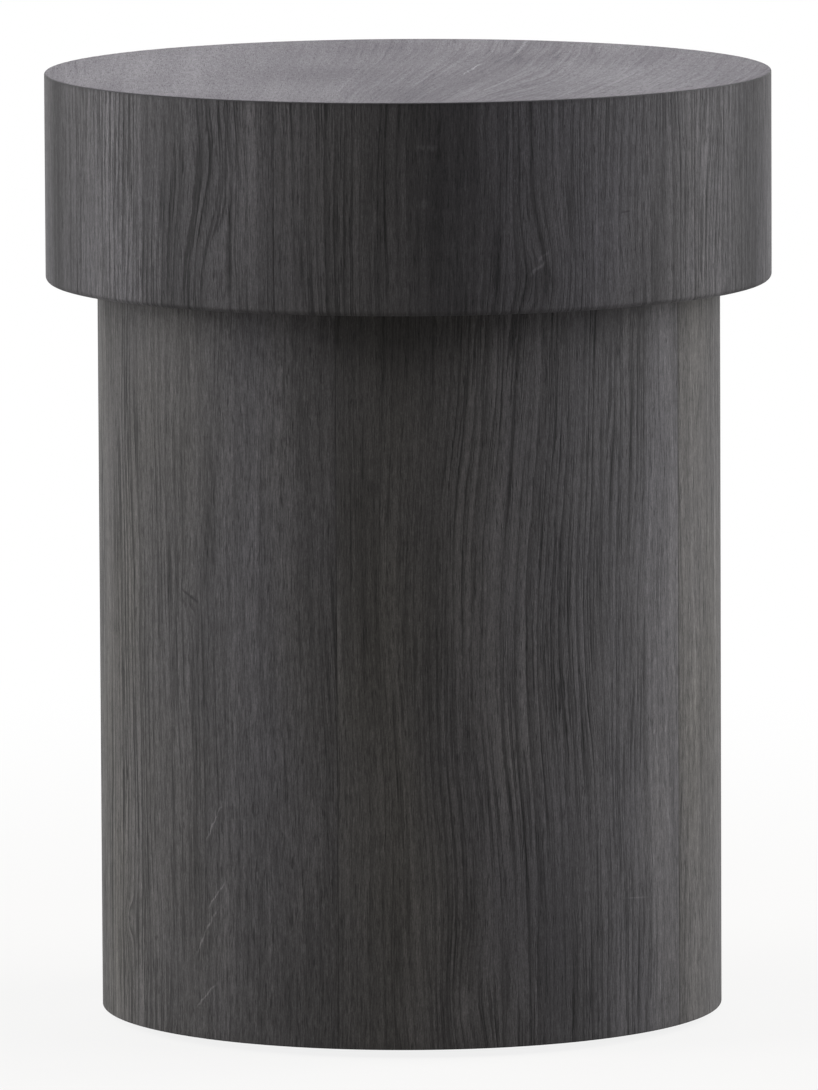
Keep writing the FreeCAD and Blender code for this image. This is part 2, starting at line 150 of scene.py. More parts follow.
class Graph:
    """One node tree, with short ways to add its nodes."""

    def __init__(self, tree):
        self.tree = tree

    def add(self, kind, inputs=None, **settings):
        made = self.tree.nodes.new(kind)
        for name, value in settings.items():
            setattr(made, name, value)
        for key, value in (inputs or {}).items():
            self.feed(made.inputs[key], value)
        return made

    def feed(self, socket, value):
        if isinstance(value, Wire):
            value = value.socket
        if isinstance(value, bpy.types.NodeSocket):
            self.tree.links.new(value, socket)
        else:
            socket.default_value = value

    def math(self, operation, *values):
        made = self.add("ShaderNodeMath", dict(enumerate(values)), operation=operation)
        return Wire(self, made.outputs[0])

    def vector(self, x, y, z=0.0):
        return self.add("ShaderNodeCombineXYZ", {0: x, 1: y, 2: z}).outputs[0]

    def parts(self, vector):
        made = self.add("ShaderNodeSeparateXYZ", {0: vector})
        return [Wire(self, socket) for socket in made.outputs]

    def noise(self, x, y, z=0.0, detail=2.0):
        """Smooth noise about 0, most of it within a quarter each way."""
        inputs = {"Vector": self.vector(x, y, z), "Scale": 1.0, "Detail": detail}
        return Wire(self, self.add("ShaderNodeTexNoise", inputs).outputs[0]) - 0.5

    def line_noise(self, x):
        """The same along a line."""
        inputs = {"W": x, "Scale": 1.0, "Detail": 1.0}
        made = self.add("ShaderNodeTexNoise", inputs, noise_dimensions="1D")
        return Wire(self, made.outputs[0]) - 0.5

    def grain(self, size, across, along, seed):
        """Noise with a size across and along a sheet."""
        return self.noise(across / size[0], along / size[1], seed)

    def specks(self, size, place, detail=2.0):
        """Noise with a size along each axis."""
        x, y, z = (part / length for part, length in zip(place, size))
        return self.noise(x, y, z, detail)

    def position(self):
        """Where the points of the geometry are."""
        return self.parts(self.add("GeometryNodeInputPosition").outputs[0])

    def kept(self, name):
        """A number that was stored on the points."""
        made = self.add("GeometryNodeInputNamedAttribute", {"Name": name}, data_type="FLOAT")
        return Wire(self, made.outputs[0])

    def polar(self, angle, radius, height):
        """The place at an angle round the axis and a distance from it."""
        return self.vector(self.math("COSINE", angle) * radius, self.math("SINE", angle) * radius, height)


# Geometry of the veneer


def rings_at(graph, across, along, seed, lean=0.0):
    """The growth rings' coordinate on a sheet, in millimetres: a line of the grain keeps one value."""
    wander = graph.grain(WANDER_SIZE, across, along, seed)
    waver = graph.grain(WAVER_SIZE, across, along, seed + WAVER_SEED)
    return across + along * lean + wander * WANDER + waver * WAVER


def uneven(graph, ring, seed):
    """Years of fast and slow growth bunch the rings."""
    return ring + graph.line_noise(ring / SLOW_YEARS + seed) * SLOW_YEARS_SWING


def ring_relief(graph, ring, along, seed):
    """How deep the soft early wood lies, as a share of the relief."""
    wave = graph.math("COSINE", ring * (FULL_TURN / RING_PERIOD)) * 0.5 + 0.5
    strong = graph.grain(STRONG_RINGS_SIZE, ring, along, seed + STRONG_RINGS_SEED)
    return wave * strong.eased(*STRONG_RINGS_SHOW)


def new_geometry_tree(name, inputs):
    """A tree with one number socket for each named input, and the graph, its inputs and its output node."""
    tree = bpy.data.node_groups.new(name, "GeometryNodeTree")
    for label, kind in inputs:
        tree.interface.new_socket(name=label, in_out="INPUT", socket_type=kind)
    tree.interface.new_socket(name="Geometry", in_out="OUTPUT", socket_type="NodeSocketGeometry")
    graph = Graph(tree)
    given = graph.add("NodeGroupInput")
    wires = {label: Wire(graph, given.outputs[label]) for label, kind in inputs}
    return tree, graph, wires, graph.add("NodeGroupOutput")


def unit_grid(graph, columns, rows):
    """A square of points, one across, with so many columns and rows."""
    sizes = {"Size X": 1.0, "Size Y": 1.0, "Vertices X": columns, "Vertices Y": rows}
    return graph.add("GeometryNodeMeshGrid", sizes).outputs[0]


def stored(graph, geometry, name, value, kind="FLOAT"):
    """The geometry with a named value kept on its points."""
    made = graph.add(
        "GeometryNodeStoreNamedAttribute",
        {"Geometry": geometry, "Name": name, "Value": value},
        data_type=kind,
        domain="POINT",
    )
    return made.outputs[0]


def shaped(graph, geometry, place):
    """The geometry with its points in place, closed where they meet."""
    moved = graph.add("GeometryNodeSetPosition", {"Geometry": geometry, "Position": place})
    closed = graph.add("GeometryNodeMergeByDistance", {"Geometry": moved.outputs[0], "Distance": WELD})
    return closed.outputs[0]


def finished(graph, geometry, material):
    """The geometry as real faces, smooth with sharp arrises, in one material."""
    smooth = graph.add("GeometryNodeSetShadeSmooth", {"Geometry": geometry}, domain="FACE")
    angle = Wire(graph, graph.add("GeometryNodeInputMeshEdgeAngle").outputs["Unsigned Angle"])
    arris = graph.math("GREATER_THAN", angle, SHARP_ANGLE)
    sharp = graph.add(
        "GeometryNodeSetShadeSmooth",
        {"Geometry": smooth.outputs[0], "Selection": arris, "Shade Smooth": False},
        domain="EDGE",
    )
    real = graph.add("GeometryNodeRealizeInstances", {"Geometry": sharp.outputs[0]})
    dressed = graph.add("GeometryNodeSetMaterial", {"Geometry": real.outputs[0], "Material": material})
    return dressed.outputs[0]


NUMBER = "NodeSocketFloat"
MATERIAL = "NodeSocketMaterial"
SPOT_SLOTS = {"Hill": 5, "Stain": 10, "Calm": 3, "Warm": 2}
SPOT_PARTS = ("Across", "Along", "Width", "Length", "Height")
# The spots that the oak's finish reads
SHOWN_SPOTS = ("Stain", "Calm", "Warm")


def number_inputs(*labels):
    return [(label, NUMBER) for label in labels]


LEAF_INPUTS = number_inputs(
    "Radius", "Low", "High", "Lower Round", "Start Angle", "Columns", "Rows", "Seed", "Lean"
)
for spot_kind, slot_count in SPOT_SLOTS.items():
    for slot in range(slot_count):
        LEAF_INPUTS += number_inputs(*(f"{spot_kind} {slot + 1} {part}" for part in SPOT_PARTS))
LEAF_INPUTS += [("Oak", MATERIAL)]


def spots(graph, given, kind, across, along):
    """The sum of a leaf's soft round spots of one kind."""
    total = 0.0
    for slot in range(SPOT_SLOTS[kind]):
        spot = {part: given[f"{kind} {slot + 1} {part}"] for part in SPOT_PARTS}
        sideways = ((across - spot["Across"]) / spot["Width"]) ** 2.0
        lengthways = ((along - spot["Along"]) / spot["Length"]) ** 2.0
        total = total + graph.math("EXPONENT", -1.0 * (sideways + lengthways)) * spot["Height"]
    return total


def veneer_leaf_tree():
    """A leaf of veneer bent round a drum: a closed box of points, wrapped, its lower edge rounded."""
    tree, graph, given, output = new_geometry_tree("veneer_leaf", LEAF_INPUTS)
    columns, rows, seed = given["Columns"], given["Rows"], given["Seed"]
    cube = graph.add(
        "GeometryNodeMeshCube",
        {"Size": (1, 1, 1), "Vertices X": columns, "Vertices Y": 2, "Vertices Z": rows},
    )
    x, y, z = graph.position()
    column = (x + 0.5) * (columns - 1.0)
    row = (z + 0.5) * (rows - 1.0)
    outer = graph.math("LESS_THAN", y, 0.0)

    width = given["Radius"] * LEAF_ANGLE
    last = columns - 1.0
    across = column.ramp(0.0, SEAM_COLUMNS, 0.0, SEAM_WIDTH)
    across = across + column.ramp(SEAM_COLUMNS, last - SEAM_COLUMNS, 0.0, width - 2 * SEAM_WIDTH)
    across = across + column.ramp(last - SEAM_COLUMNS, last, 0.0, SEAM_WIDTH)

    round_size = given["Lower Round"]
    flat = graph.math("MAXIMUM", round_size - SHEET_THICKNESS, 0.0)
    start = -1.0 * graph.math("ARCCOSINE", flat / round_size)
    turn = row.ramp(0.0, ROUND_ROWS, start, 0.0)
    rise = row.ramp(ROUND_ROWS, rows - 1.0, 0.0, given["High"] - given["Low"] - round_size)
    height = given["Low"] + round_size + graph.math("SINE", turn) * round_size + rise
    face = given["Radius"] - round_size + graph.math("COSINE", turn) * round_size

    across_mm = across * PER_METRE
    along_mm = height * PER_METRE
    ring = rings_at(graph, across_mm, along_mm, seed, given["Lean"])
    ring = ring + spots(graph, given, "Hill", across_mm, along_mm)
    ring = uneven(graph, ring, seed)

    to_seam = graph.math("MINIMUM", across, width - across)
    relief = ring_relief(graph, ring, along_mm, seed) * to_seam.eased(0.0, RELIEF_FADE) * RING_RELIEF
    groove = to_seam.eased(0.0, SEAM_WIDTH, SEAM_GROOVE, 0.0)
    inner_radius = given["Radius"] - SHEET_THICKNESS
    cut_face = graph.math("MAXIMUM", face - relief - groove, inner_radius)
    radius = inner_radius + (cut_face - inner_radius) * outer
    place = graph.polar(given["Start Angle"] + across / given["Radius"], radius, height)

    grain = graph.vector(across_mm, along_mm, seed)
    geometry = stored(graph, cube.outputs[0], "grain", grain, "FLOAT_VECTOR")
    geometry = stored(graph, geometry, "ring", ring)
    geometry = stored(graph, geometry, "edge", turn.eased(*EDGE_DARKENS, 1.0, 0.0))
    geometry = stored(graph, geometry, "seam", to_seam * PER_METRE)
    for kind in SHOWN_SPOTS:
        shown = spots(graph, given, kind, across_mm, along_mm)
        geometry = stored(graph, geometry, kind.lower(), shown)
    wrapped = shaped(graph, geometry, place)
    graph.feed(output.inputs[0], finished(graph, wrapped, given["Oak"]))
    return tree


TOP_INPUTS = number_inputs("Radius", "Height", "Edge Ease", "Rings", "Columns", "Seed", "Rim Seed")
TOP_INPUTS += [("Oak", MATERIAL), ("Rim Oak", MATERIAL)]


def rim_spots(graph, kind, leaf, across, along):
    """The drum leaves' spots of one kind, carried on over the top sheet's rim."""
    total = 0.0
    for index in range(LEAVES):
        given = spots_of(("drum", index + 1), kind)
        if given:
            on_leaf = graph.math("COMPARE", leaf, float(index), 0.5)
            total = total + spots(graph, spot_values(kind, given), kind, across, along) * on_leaf
    return total


def top_sheet_tree():
    """The tabletop's sheet: a profile from its middle over the eased edge to below, turned round."""
    tree, graph, given, output = new_geometry_tree("top_sheet", TOP_INPUTS)
    rings, columns, seed = given["Rings"], given["Columns"], given["Seed"]
    half_eased = rings + ROUND_ROWS / 2
    ease_end = rings + ROUND_ROWS
    side_end = ease_end + SIDE_ROWS
    below = side_end + 1.0
    grid = unit_grid(graph, columns + 1.0, below + 1.0)
    x, y, _ = graph.position()
    row = (y + 0.5) * below
    ease = given["Edge Ease"]
    turn = row.ramp(rings, ease_end, pi / 2, 0.0)
    flat = row.ramp(0.0, rings, 0.0, given["Radius"] - ease)
    drop = row.ramp(ease_end, side_end, 0.0, SHEET_THICKNESS - ease)
    on_face = 1.0 - graph.math("GREATER_THAN", row, side_end + 0.5)
    radius = (flat + graph.math("COSINE", turn) * ease) * on_face
    height = given["Height"] - ease + graph.math("SINE", turn) * ease - drop
    place = graph.polar(x * -FULL_TURN, radius, height)
    # 1 over the top's eased arris, which the oak darkens as painted shade
    edge = row.eased(rings - 1.0, half_eased) * row.eased(ease_end - 1.0, side_end, 1.0, 0.0)
    rim = row.eased(half_eased - 0.5, half_eased + 0.5)
    swept = shaped(graph, stored(graph, stored(graph, grid, "edge", edge), "rim", rim), place)

    px, py, pz = graph.position()
    aside = px * PER_METRE
    along = py * PER_METRE
    leaning = along * TOP_LEAN - along * along * TOP_LEAN_LOSS
    across = aside - leaning * aside.ramp(*TOP_LEAN_REACH)
    face_ring = uneven(graph, rings_at(graph, across, along, seed), seed)

    round_rim = graph.math("ARCTAN2", py, px) - DRUM_SEAM_ANGLE
    leaf_share = graph.math("WRAP", round_rim / LEAF_ANGLE, float(LEAVES), 0.0)
    leaf = graph.math("FLOOR", leaf_share)
    rim_across = (leaf_share - leaf) * (LEAF_ANGLE * DRUM_RADIUS * PER_METRE)
    rim_along = pz * PER_METRE
    rim_seed = given["Rim Seed"] + leaf * LEAF_SEED_STEP
    rim_ring = rings_at(graph, rim_across, rim_along, rim_seed)
    rim_ring = uneven(graph, rim_ring + rim_spots(graph, "Hill", leaf, rim_across, rim_along), rim_seed)
    on_rim = graph.kept("rim")

    def blend(face_value, rim_value):
        return face_value + (rim_value - face_value) * on_rim

    grain = graph.vector(blend(across, rim_across), blend(along, rim_along), blend(seed, rim_seed))
    dressed = stored(graph, swept, "grain", grain, "FLOAT_VECTOR")
    dressed = stored(graph, dressed, "ring", blend(face_ring, rim_ring))
    dressed = stored(graph, dressed, "seam", NO_SEAM)
    for kind in SHOWN_SPOTS:
        face_spots = spots(graph, spot_values(kind, spots_of(TOP_FACE, kind)), kind, aside, along)
        shown = blend(face_spots, rim_spots(graph, kind, leaf, rim_across, rim_along))
        dressed = stored(graph, dressed, kind.lower(), shown)

    relief = ring_relief(graph, face_ring, along, seed) * (1.0 - on_rim) * RING_RELIEF
    on_top = graph.math("GREATER_THAN", pz, given["Height"] - TOP_EDGE_EASE * 0.5)
    sunk = graph.vector(0.0, 0.0, relief * on_top * -1.0)
    carved = graph.add("GeometryNodeSetPosition", {"Geometry": dressed, "Offset": sunk})
    one_oak = finished(graph, carved.outputs[0], given["Oak"])
    rim_dress = {"Geometry": one_oak, "Selection": on_rim, "Material": given["Rim Oak"]}
    graph.feed(output.inputs[0], graph.add("GeometryNodeSetMaterial", rim_dress).outputs[0])
    return tree


# The leveller's stem, from the button in the pad up to the slotted end of the threaded rod
LEVELLERS = 4
LEVELLER_RADIUS = 151.9 * MM
LEVELLER_FIRST_ANGLE = radians(45)
STEM_LOW = 2.3 * MM
BUTTON_RADIUS = 7.5 * MM
BUTTON_EASE = 0.4 * MM
BUTTON_HEIGHT = 2.5 * MM
NECK_RADIUS = 4.5 * MM
NECK_HEIGHT = 2.5 * MM
HEX_ACROSS = 13.0 * MM
HEX_HEIGHT = 4.0 * MM
HEX_EASE = 0.6 * MM
HEX_SIDES = 6
ROD_RADIUS = 4.0 * MM
ROD_LENGTH = 33.5 * MM
ROD_END_EASE = 1.0 * MM
THREAD_PITCH = 1.25 * MM
THREAD_DEPTH = 0.7 * MM
THREAD_RUN_OUT = 1.5 * MM
THREAD_ROWS_PER_TURN = 10
STEM_COLUMNS = 60
STEM_SLOT = (11.0 * MM, 1.4 * MM, 4.0 * MM)
# The rows of the stem's profile between which it is six-sided
HEX_ROWS = (7.5, 9.5)
# The thread's groove, from its bottom to its crest, as shares of half a pitch
THREAD_FLANK = (0.12, 0.9)
STEM_INPUTS = number_inputs(
    "Centre X", "Centre Y", "Pitch", "Depth", "Rod Length", "Rod Rows", "Columns"
)
STEM_INPUTS += [("Steel", MATERIAL)]


def turned(row, first, steps):
    """A profile from first on, one step up and out for each span of rows: its height and its width."""
    rise, width = first
    at = 0.0
    for rows, step_up, step_out in steps:
        rise = row.ramp(at, at + rows, 0.0, step_up) + rise
        width = row.ramp(at, at + rows, 0.0, step_out) + width
        at = rows + at
    return rise, width


def threaded_stem_tree():
    """A leveller's stem: button, neck, hexagon and threaded rod in one turned profile, with a slot."""
    tree, graph, given, output = new_geometry_tree("threaded_stem", STEM_INPUTS)
    foot = [
        (1.0, 0.0, BUTTON_RADIUS - BUTTON_EASE),
        (1.0, BUTTON_EASE, BUTTON_EASE),
        (1.0, BUTTON_HEIGHT - 2 * BUTTON_EASE, 0.0),
        (1.0, BUTTON_EASE, -BUTTON_EASE),
        (1.0, 0.0, NECK_RADIUS - BUTTON_RADIUS + BUTTON_EASE),
        (1.0, NECK_HEIGHT, 0.0),
        (1.0, 0.0, HEX_ACROSS / 2 - NECK_RADIUS),
        (1.0, HEX_EASE, 0.0),
        (1.0, HEX_HEIGHT - 2 * HEX_EASE, 0.0),
        (1.0, HEX_EASE, 0.0),
        (1.0, 0.0, ROD_RADIUS - HEX_ACROSS / 2),
    ]
    rod = [(given["Rod Rows"], given["Rod Length"] - ROD_END_EASE, 0.0)]
    rod_end = [(2.0, ROD_END_EASE, -ROD_END_EASE), (1.0, 0.0, ROD_END_EASE - ROD_RADIUS)]
    rows = given["Rod Rows"] + sum(step[0] for step in foot + rod_end)
    grid = unit_grid(graph, given["Columns"] + 1.0, rows + 1.0)
    x, y, _ = graph.position()
    row = (y + 0.5) * rows
    turn = x + 0.5
    rise, width = turned(row, (STEM_LOW, 0.0), foot + rod + rod_end)

    off_flat = graph.math("WRAP", turn * float(HEX_SIDES), 0.5, -0.5) * (FULL_TURN / HEX_SIDES)
    on_hex = graph.math("GREATER_THAN", row, HEX_ROWS[0]) * graph.math("LESS_THAN", row, HEX_ROWS[1])
    corner = 1.0 / graph.math("COSINE", off_flat)
    width = width * (1.0 + (corner - 1.0) * on_hex)

    rod_low = STEM_LOW + BUTTON_HEIGHT + NECK_HEIGHT + HEX_HEIGHT
    phase = graph.math("FRACT", rise / given["Pitch"] - turn)
    groove = graph.math("ABSOLUTE", phase * 2.0 - 1.0).ramp(*THREAD_FLANK, 1.0, 0.0)
    groove = groove * rise.eased(rod_low, rod_low + THREAD_RUN_OUT)
    groove = groove * graph.math("LESS_THAN", row, rows - 0.5)
    width = graph.math("MAXIMUM", width - groove * given["Depth"], 0.0)
    stem = shaped(graph, grid, graph.polar(turn * FULL_TURN, width, rise))

    cutter = graph.add("GeometryNodeMeshCube", {"Size": STEM_SLOT})
    slot_place = graph.vector(0.0, 0.0, given["Rod Length"] + rod_low)
    raised = graph.add("GeometryNodeTransform", {"Geometry": cutter.outputs[0], "Translation": slot_place})
    slotted = graph.add("GeometryNodeMeshBoolean", operation="DIFFERENCE")
    graph.feed(slotted.inputs["Mesh 1"], stem)
    graph.feed(slotted.inputs["Mesh 2"], raised.outputs[0])
    centre = graph.vector(given["Centre X"], given["Centre Y"])
    moved = graph.add("GeometryNodeTransform", {"Geometry": slotted.outputs[0], "Translation": centre})
    graph.feed(output.inputs[0], finished(graph, moved.outputs[0], given["Steel"]))
    return tree


def made_by(tree, name, values):
    """A plain mesh object that a geometry tree makes from these input values."""
    holder = bpy.data.objects.new(f"{name}_making", bpy.data.meshes.new(f"{name}_blank"))
    bpy.context.scene.collection.objects.link(holder)
    modifier = holder.modifiers.new("make", "NODES")
    modifier.node_group = tree
    for item in tree.interface.items_tree:
        if item.in_out == "INPUT" and item.name in values:
            modifier[item.identifier] = values[item.name]
    evaluated = holder.evaluated_get(bpy.context.evaluated_depsgraph_get())
    mesh = bpy.data.meshes.new_from_object(evaluated)
    mesh.name = name
    bpy.data.objects.remove(holder)
    piece = bpy.data.objects.new(name, mesh)
    bpy.context.scene.collection.objects.link(piece)
    return piece


# Finishes


def blank_material(name):
    material = bpy.data.materials.new(name)
    material.use_nodes = True
    material.node_tree.nodes.clear()
    return material, Graph(material.node_tree)


def new_finish(name):
    """A material, its graph and its shader, with the shader already on the output."""
    material, graph = blank_material(name)
    shader = graph.add("ShaderNodeBsdfPrincipled")
    graph.add("ShaderNodeOutputMaterial", {"Surface": shader.outputs[0]})
    return material, graph, shader


def attribute(graph, name):
    return graph.add("ShaderNodeAttribute", attribute_name=name)


def blended(graph, share, first, second):
    """A colour between two."""
    return graph.add("ShaderNodeMix", {0: share, "A": first, "B": second}, data_type="RGBA").outputs[2]


def weighed(weights, patterns):
    """The weights' start value and the patterns that have a weight, each times it."""
    total = weights.get("start", 0.0)
    for kind, weight in weights.items():
        if kind != "start":
            total = patterns[kind] * weight + total
    return total


def bumped(graph, height_mm):
    """A surface normal from a height in millimetres."""
    made = graph.add("ShaderNodeBump", {"Strength": 1.0, "Distance": MM, "Height": height_mm})
    return made.outputs[0]


# The stain's coolest and warmest hue on each form
OAK_HUES = {
    "drum": ((0.0543, 0.0522, 0.0585, 1), (0.0557, 0.0532, 0.0535, 1)),
    "base": ((0.0540, 0.0522, 0.0576, 1), (0.0562, 0.0532, 0.0502, 1)),
    "top": ((0.0492, 0.0470, 0.0525, 1), (0.0502, 0.0479, 0.0495, 1)),
}
# The colour of the top's faint sheen
OAK_SHEEN_TINT = (0.86, 0.68, 1.0, 1)
# The oak's patterns: width and length in millimetres, and a step of the seed that sets each apart
OAK_PATTERNS = {
    "waver": (4.0, 9.0, 6.0),
    "lined": (26.0, 170.0, 9.1),
    "line": (1.3, 60.0, 4.4),
    "streak": (5.0, 200.0, 0.0),
    "band": (36.0, 400.0, 2.0),
    "fibre": (0.5, 9.0, 0.0),
    "pore": (0.75, 13.0, 5.0),
    "mottle": (2.4, 15.0, 7.0),
    "dash": (0.8, 3.2, 16.0),
    "fleck": (0.7, 1.3, 14.0),
    "crack": (1.5, 16.0, 12.0),
    "bend": (9.0, 7.0, 1.0),
    "hue": (60.0, 160.0, 8.0),
}
# Where a pattern begins and ceases to change, and how much of it shows there
OAK_SHOWS = {
    "early wood": (0.88, 1.0),
    "lined": (-0.16, 0.1, 0.2, 1.0),
    "lined in stains": (-0.6, -0.2, 0.5, 1.0),
    "line": (0.03, 0.15),
    "pore": (0.09, 0.17),
    "crack": (0.14, 0.21),
    "seam": (0.0, 0.45, 0.5, 0.0),
    "hue": (-0.3, 0.3, 0.35, 0.65),
}
# How far each pattern lightens or darkens the oak
OAK_TONE = {
    "start": 0.16,
    "stain": 1.0,
    "band": 0.7,
    "streak": 0.85,
    "calm streak": -1.0,
    "fibre": 1.15,
    "dash": 0.7,
    "fleck": 0.6,
    "mottle": 0.3,
    "calm mottle": 0.5,
    "early wood": -0.55,
    "sparse line": -0.12,
    "ringed line": -0.48,
    "pore": -0.42,
    "ringed pore": -0.2,
    "crack": -0.2,
    "calm crack": -0.4,
}
# How high or deep each pattern is, in millimetres
OAK_HEIGHT = {
    "fibre": 0.07,
    "line": -0.02,
    "ringed line": -0.06,
    "early wood": -0.05,
    "pore": -0.09,
    "crack": -0.12,
}
# How far the oak darkens its rounded edges, as painted shade
OAK_EDGE_PAINTED_SHADE = 0.4
OAK_EDGE_POLISH = 0.06
OAK_ROUGHNESS = 0.62
OAK_DULLEST_TONE = -1.0
OAK_WAVER = 0.9
EARLY_WOOD_FADE = 3.0
# How far the fibres fray a single mark and the grain bends it, in millimetres
MARK_FRAY = 2.0
MARK_BEND = 6.0
# Where a single mark fades in and out, as shares of its length
MARK_START = (-0.15, 0.2)
MARK_END = (0.8, 1.15)


def stroke(graph, across, along, first, last, half_width):
    """1 along a straight mark between two places, soft at its sides and ends."""
    run = Vector(last) - Vector(first)
    unit = run.normalized()
    from_first = (across - first[0], along - first[1])
    along_mark = (from_first[0] * unit.x + from_first[1] * unit.y) / run.length
    aside = graph.math("ABSOLUTE", from_first[0] * unit.y - from_first[1] * unit.x)
    ends = along_mark.eased(*MARK_START) * along_mark.eased(*MARK_END, 1.0, 0.0)
    return aside.eased(0.0, half_width, 1.0, 0.0) * ends


def smoked_oak(
    name, form, marks=(), ringed=1.0, calmed=0.0, contrast=1.2, gloss_swing=0.06, shine=0.12, sheen=0.0
):
    """Dark stained oak, matt: growth rings, fibres, open pores and broad bands, and a leaf's own marks."""
    material, graph, shader = new_finish(name)
    across, along, seed = graph.parts(attribute(graph, "grain").outputs["Vector"])
    ring, edge, seam, stain, calm, warm = (
        Wire(graph, attribute(graph, part).outputs["Fac"])
        for part in ("ring", "edge", "seam", "stain", "calm", "warm")
    )

    def pattern(kind, sideways):
        width, length, step = OAK_PATTERNS[kind]
        return graph.grain((width, length), sideways, along, seed + step)

    waver = pattern("waver", across) * OAK_WAVER
    across = across + waver
    ring = ring + waver
    step = graph.math("FRACT", ring / RING_PERIOD)
    early = graph.math("MAXIMUM", (1.0 - step) ** EARLY_WOOD_FADE, step.eased(*OAK_SHOWS["early wood"]))
    lined = pattern("lined", ring).eased(*OAK_SHOWS["lined"])
    lined = lined * (1.0 - calm) * stain.eased(*OAK_SHOWS["lined in stains"]) * ringed
    line = pattern("line", ring).eased(*OAK_SHOWS["line"])
    pore = pattern("pore", across).eased(*OAK_SHOWS["pore"])
    crack = pattern("crack", across).eased(*OAK_SHOWS["crack"])
    streak = pattern("streak", ring)
    fibre = pattern("fibre", across)
    mottle = pattern("mottle", across)
    patterns = {
        "stain": stain,
        "band": pattern("band", ring),
        "streak": streak,
        "calm streak": streak * calm * calmed,
        "fibre": fibre,
        "dash": pattern("dash", across),
        "fleck": pattern("fleck", across),
        "mottle": mottle,
        "calm mottle": mottle * calm,
        "early wood": early * lined,
        "line": line,
        "sparse line": line * ringed,
        "ringed line": line * lined,
        "pore": pore,
        "ringed pore": pore * lined,
        "crack": crack,
        "calm crack": crack * calm,
    }
    # Most stain spots are the oak's own tone, and some are painted shade on the drum's sides and under its
    # overhang
    tone = weighed(OAK_TONE, patterns) * contrast
    # Rounded edges are darkened as painted shade, and seams are darker joints
    tone = tone - edge * OAK_EDGE_PAINTED_SHADE - seam.eased(*OAK_SHOWS["seam"])
    bend = across + fibre * MARK_FRAY + pattern("bend", across) * MARK_BEND
    for first, last, half_width, strength in marks:
        tone = tone + stroke(graph, bend, along, first, last, half_width) * strength

    hue = warm + pattern("hue", across).eased(*OAK_SHOWS["hue"])
    colour = graph.add(
        "ShaderNodeVectorMath",
        {0: blended(graph, hue, *OAK_HUES[form]), "Scale": graph.math("EXPONENT", tone)},
        operation="SCALE",
    )
    gloss = graph.math("MAXIMUM", tone, OAK_DULLEST_TONE) * gloss_swing
    graph.feed(shader.inputs["Base Color"], colour.outputs[0])
    graph.feed(shader.inputs["Roughness"], OAK_ROUGHNESS - edge * OAK_EDGE_POLISH - gloss)
    graph.feed(shader.inputs["Normal"], bumped(graph, weighed(OAK_HEIGHT, patterns)))
    graph.feed(shader.inputs["Specular IOR Level"], shine)
    graph.feed(shader.inputs["Sheen Weight"], sheen)
    graph.feed(shader.inputs["Sheen Tint"], OAK_SHEEN_TINT)
    return material


# The other finishes: each one's darkest and lightest colour
COLOURS = {
    "bending_ply": ((0.2, 0.11, 0.055, 1), (0.5, 0.335, 0.19, 1)),
    "stained_fibreboard": ((0.011, 0.0095, 0.009, 1), (0.032, 0.028, 0.026, 1)),
    "bare_fibreboard": ((0.19, 0.115, 0.06, 1), (0.36, 0.235, 0.135, 1)),
    "planed_pine": ((0.36, 0.19, 0.075, 1), (0.62, 0.42, 0.22, 1)),
    "turned_beech": ((0.34, 0.19, 0.095, 1), (0.54, 0.34, 0.19, 1)),
    "zinc_plate": ((0.42, 0.42, 0.42, 1), (0.68, 0.69, 0.7, 1)),
    "yellow_plate": ((0.42, 0.31, 0.13, 1), (0.7, 0.57, 0.27, 1)),
    "stem_plate": ((0.4, 0.4, 0.4, 1), (0.64, 0.65, 0.66, 1)),
    "black_nylon": ((0.009, 0.009, 0.0095, 1), (0.022, 0.022, 0.023, 1)),
}
EDGE_STAIN = (0.026, 0.024, 0.024, 1)
EDGE_STAIN_REACH = (0.3, 2.5)

# Their patterns: sizes in millimetres, where they show, and their weights in the tone from dark to light,
# in the roughness and in the height in millimetres
PLY = {
    "layer": 1.6,
    "grain": (1.1, 30.0),
    "pore": (0.7, 9.0),
    "pore seed": 4.0,
    "pore shows": (0.08, 0.2),
    "cloud": (60.0, 140.0),
    "cloud seed": 3.0,
    "tone": {"start": 0.62, "grain": 0.9, "cloud": 0.6, "pore": -0.45, "crossed layer": -0.22},
    "roughness": {"start": 0.72, "grain": 0.2},
    "height": {"grain": 0.06, "pore": -0.1},
}
FIBREBOARD = {
    "matted": (1.3, 1.3, 1.3),
    "matted detail": 4.0,
    "strand one way": (0.5, 4.0, 0.5),
    "strand across": (4.0, 0.5, 0.5),
    "cloud": (70.0, 70.0, 70.0),
    "speck": (0.8, 0.8, 0.8),
    "speck detail": 0.0,
    "speck shows": (0.24, 0.32),
    "tone": {"start": 0.5, "matted": 0.9, "strand": 0.5, "cloud": 0.6, "speck": -0.5},
    "roughness": {"matted": 0.2},
    "height": {"matted": 0.05, "strand": 0.03},
}
BARE_WOOD = {
    "pith": (41.0, -63.0),
    "bow": 9.0,
    "bow size": (90.0, 90.0, 260.0),
    "late wood starts": (0.35, 0.9),
    "late wood ends": (0.93, 1.0, 1.0, 0.0),
    "fibre": (0.5, 0.5, 14.0),
    "cloud": (24.0, 24.0, 150.0),
    "tone": {"start": 0.85, "late wood": -0.55, "fibre": 0.7, "cloud": 0.5},
    "roughness": {"fibre": 0.2, "late wood": -0.1},
    "height": {"fibre": 0.05, "late wood": 0.03},
}
PLATED_STEEL = {
    "cloud": (3.0, 3.0, 3.0),
    "cloud detail": 3.0,
    "drawn line": (4.0, 4.0, 0.12),
    "nick": (0.7, 0.7, 0.7),
    "nick shows": (0.16, 0.26),
    "tone": {"start": 0.6, "cloud": 1.2, "drawn line": 0.3, "nick": -0.4},
    "roughness": {"cloud": 0.25, "drawn line": 0.12, "nick": 0.15},
    "height": {"drawn line": 0.008, "nick": -0.02},
}
